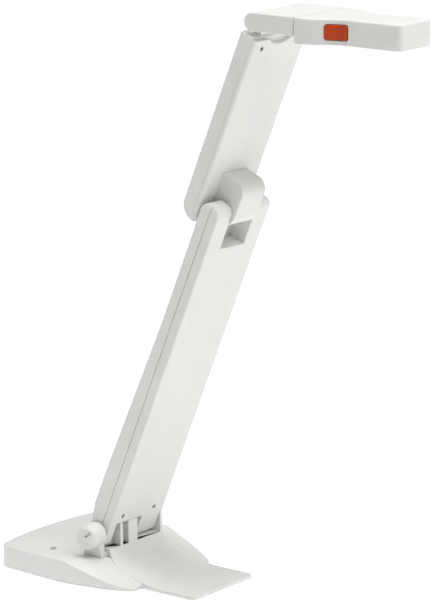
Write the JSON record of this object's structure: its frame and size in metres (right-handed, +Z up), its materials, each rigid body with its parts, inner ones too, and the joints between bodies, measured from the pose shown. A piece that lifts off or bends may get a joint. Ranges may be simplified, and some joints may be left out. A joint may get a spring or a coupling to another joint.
{
  "type": "document camera",
  "caption": "Desktop document camera: wedge base with a thin front tongue, forward-leaning two-part folding arm, swivelling flat camera head with a side push-button.",
  "frame": {"origin": "on the surface the base stands on, directly under the base hinge axis, on the arm's centre plane", "axes": "+Z up, -Y forward over the document, X along the hinge axes"},
  "size_m": [0.1058, 0.296, 0.3781],
  "materials": {
    "white_shell": "satin moulded white",
    "orange_button": "satin orange",
    "steel": "plain",
    "bearing_plastic": "plain acetal",
    "circuit_board": "green solder mask",
    "ribbon": "amber film",
    "black_plastic": "black",
    "lens": "coated glass",
    "window": "translucent",
    "led": "phosphor",
    "rubber": "matt grey-black"
  },
  "bodies": {
    "base": {"base_top_shell": "white_shell", "base_bottom_cover": "white_shell", "base_screws": "steel", "front_tongue": "white_shell", "base_hinge_cradle": "white_shell", "hinge_end_cap": "white_shell", "hinge_nut": "steel", "hinge_disc_springs": "steel", "hinge_spacers": "bearing_plastic", "base_hinge_shaft": "steel", "base_weight_plate": "steel", "base_board": "circuit_board", "board_spacers": "bearing_plastic", "usb_socket": "steel", "status_window": "window", "base_pads": "rubber"},
    "lower_arm": {"lower_arm_front_cover": "white_shell", "lower_arm_rear_cover": "white_shell", "lower_arm_screws": "steel", "lower_arm_rail": "steel", "lower_ribbon_cable": "ribbon", "elbow_shaft": "steel", "elbow_friction_washers": "bearing_plastic"},
    "upper_arm": {"elbow_knuckle": "white_shell", "upper_arm_front_cover": "white_shell", "upper_arm_rear_shell": "white_shell", "upper_arm_screw": "steel", "head_neck": "white_shell", "upper_arm_rail": "steel", "upper_ribbon_cable": "ribbon"},
    "head_block": {"head_block_body": "white_shell", "head_block_floor": "white_shell", "head_hinge_pin": "steel", "swivel_spindle": "steel", "swivel_washer": "bearing_plastic", "swivel_retainer": "steel"},
    "camera_head": {"head_top_shell": "white_shell", "head_floor": "white_shell", "head_screws": "steel", "head_board": "circuit_board", "head_board_posts": "steel", "camera_module": "black_plastic", "lens_barrel": "black_plastic", "lens_glass": "lens", "lens_bezel": "black_plastic", "led_window": "window", "led_chips": "led", "microphone": "black_plastic", "button_switch": "black_plastic"},
    "button": {"side_button": "orange_button"}
  },
  "joints": [
    {"name": "base_tilt", "type": "hinge", "parent": "base", "child": "lower_arm", "pos_m": [0, 0, 0.0284], "axis": [1, 0, 0], "range_deg": [-112, 0]},
    {"name": "elbow_fold", "type": "hinge", "parent": "lower_arm", "child": "upper_arm", "pos_m": [0, -0.09088, 0.24999], "axis": [1, 0, 0], "range_deg": [0, 125]},
    {"name": "head_tilt", "type": "hinge", "parent": "upper_arm", "child": "head_block", "pos_m": [0, -0.12355, 0.37234], "axis": [1, 0, 0], "range_deg": [-67.7, 20]},
    {"name": "head_swivel", "type": "hinge", "parent": "head_block", "child": "camera_head", "pos_m": [0, -0.15455, 0.37234], "axis": [0, -1, 0], "range_deg": [-90, 90]},
    {"name": "button_press", "type": "slide", "parent": "camera_head", "child": "button", "axis": [1, 0, 0], "range_m": [0, 0.0008], "stiffness_N_per_m": 600, "springref_m": -0.0003}
  ]
}
